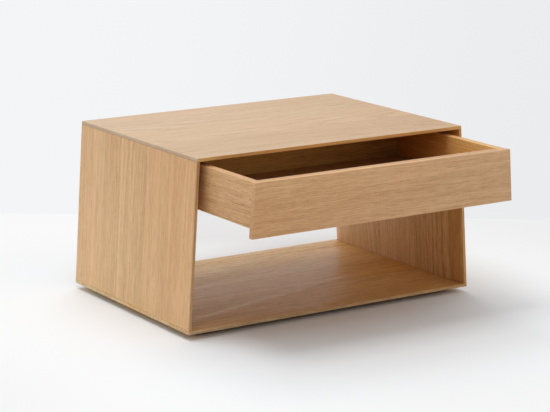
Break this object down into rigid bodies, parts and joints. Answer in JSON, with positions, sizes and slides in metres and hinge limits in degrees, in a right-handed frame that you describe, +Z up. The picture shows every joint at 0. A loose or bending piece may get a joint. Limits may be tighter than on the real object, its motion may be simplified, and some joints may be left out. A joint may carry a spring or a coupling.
{
  "type": "bedside cabinet",
  "caption": "Low oak bedside cabinet with splayed sides, thin bevelled edges, an open compartment and a shallow drawer on concealed runners, stored part open.",
  "frame": {"origin": "on the floor, at the middle of the whole outline with the drawer part open as stored; the carcass centre is 79.5 mm behind it", "axes": "+Z up, +X to the right seen from the front, the drawer opens towards -Y"},
  "size_m": [0.6, 0.579, 0.317],
  "materials": {
    "oak": "matt oiled oak, long grain along each board",
    "oak_drawer": "matt oiled oak, drawer box",
    "oak_stained": "dark stained oak",
    "beech": "bare planed beech",
    "runner_steel": "zinc-plated folded sheet",
    "zinc_screw": "bright zinc",
    "clip_nylon": "moulded grey nylon",
    "felt": "pressed felt",
    "silicone": "soft translucent silicone"
  },
  "bodies": {
    "carcass": {"back_rail": "oak", "bottom_panel": "oak", "bumper_left": "silicone", "bumper_right": "silicone", "corner_tongue_left": "beech", "corner_tongue_right": "beech", "glide_back_left": "felt", "glide_back_right": "felt", "glide_front_left": "felt", "glide_front_right": "felt", "plinth_back": "oak_stained", "plinth_front": "oak_stained", "plinth_left": "oak_stained", "plinth_middle": "oak_stained", "plinth_right": "oak_stained", "plinth_screw_1": "zinc_screw", "plinth_screw_2": "zinc_screw", "plinth_screw_3": "zinc_screw", "plinth_screw_4": "zinc_screw", "plinth_screw_5": "zinc_screw", "plinth_screw_6": "zinc_screw", "runner_batten_left": "beech", "runner_batten_right": "beech", "runner_cabinet_left": "runner_steel", "runner_cabinet_right": "runner_steel", "runner_screw_left_back": "zinc_screw", "runner_screw_left_front": "zinc_screw", "runner_screw_right_back": "zinc_screw", "runner_screw_right_front": "zinc_screw", "side_panel_left": "oak", "side_panel_right": "oak", "side_screw_left_1": "zinc_screw", "side_screw_left_2": "zinc_screw", "side_screw_left_3": "zinc_screw", "side_screw_right_1": "zinc_screw", "side_screw_right_2": "zinc_screw", "side_screw_right_3": "zinc_screw", "top_panel": "oak"},
    "drawer": {"clip_screw_left": "zinc_screw", "clip_screw_right": "zinc_screw", "drawer_back": "oak_drawer", "drawer_bottom": "oak_drawer", "drawer_box_front": "oak_drawer", "drawer_front": "oak", "drawer_side_left": "oak_drawer", "drawer_side_right": "oak_drawer", "front_screw_1": "zinc_screw", "front_screw_2": "zinc_screw", "front_screw_3": "zinc_screw", "front_screw_4": "zinc_screw", "locking_clip_left": "clip_nylon", "locking_clip_right": "clip_nylon", "runner_drawer_left": "runner_steel", "runner_drawer_right": "runner_steel"},
    "runner_middle_left": {"runner_middle_left": "runner_steel"},
    "runner_middle_right": {"runner_middle_right": "runner_steel"}
  },
  "joints": [
    {"name": "drawer_slide", "type": "slide", "parent": "carcass", "child": "drawer", "axis": [0, -1, 0], "range_m": [-0.187, 0.113]},
    {"name": "runner_slide_left", "type": "slide", "parent": "carcass", "child": "runner_middle_left", "axis": [0, -1, 0], "range_m": [-0.0935, 0.0565]},
    {"name": "runner_slide_right", "type": "slide", "parent": "carcass", "child": "runner_middle_right", "axis": [0, -1, 0], "range_m": [-0.0935, 0.0565]}
  ],
  "couplings": [
    {"joint": "runner_slide_left", "follows": "drawer_slide", "ratio": 0.5},
    {"joint": "runner_slide_right", "follows": "drawer_slide", "ratio": 0.5}
  ]
}
